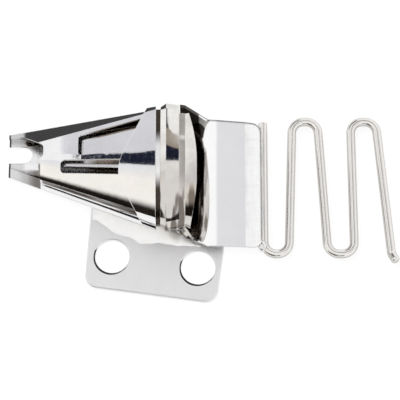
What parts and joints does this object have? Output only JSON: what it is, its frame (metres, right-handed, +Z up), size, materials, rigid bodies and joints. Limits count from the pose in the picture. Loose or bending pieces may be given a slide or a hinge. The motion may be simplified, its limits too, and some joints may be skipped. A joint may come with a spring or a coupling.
{
  "type": "sewing machine binder attachment",
  "caption": "Bias tape binder for a sewing machine: tapered chromed folding scroll with windows, tape guide and zigzag tape wire on a small plate with screw holes.",
  "frame": {"origin": "midway between the two screw holes, on the underside of the base plate", "axes": "+X along the feed line from the nose towards the zigzag wire, +Y from the screw holes towards the fold side of the scroll, +Z up off the machine bed"},
  "size_m": [0.0904, 0.0442, 0.0173],
  "materials": {
    "satin_nickel": "satin nickel plating with fine handling marks",
    "bright_chrome": "polished chrome plating, slightly uneven",
    "stainless_wire": "drawn stainless wire, fine lines along its length"
  },
  "bodies": {
    "root": {"base_plate": "satin_nickel", "outer_scroll": "bright_chrome", "inner_former": "bright_chrome", "scroll_band": "bright_chrome", "throat_collar": "bright_chrome", "tape_guide": "satin_nickel", "zigzag_wire": "stainless_wire"}
  },
  "joints": []
}
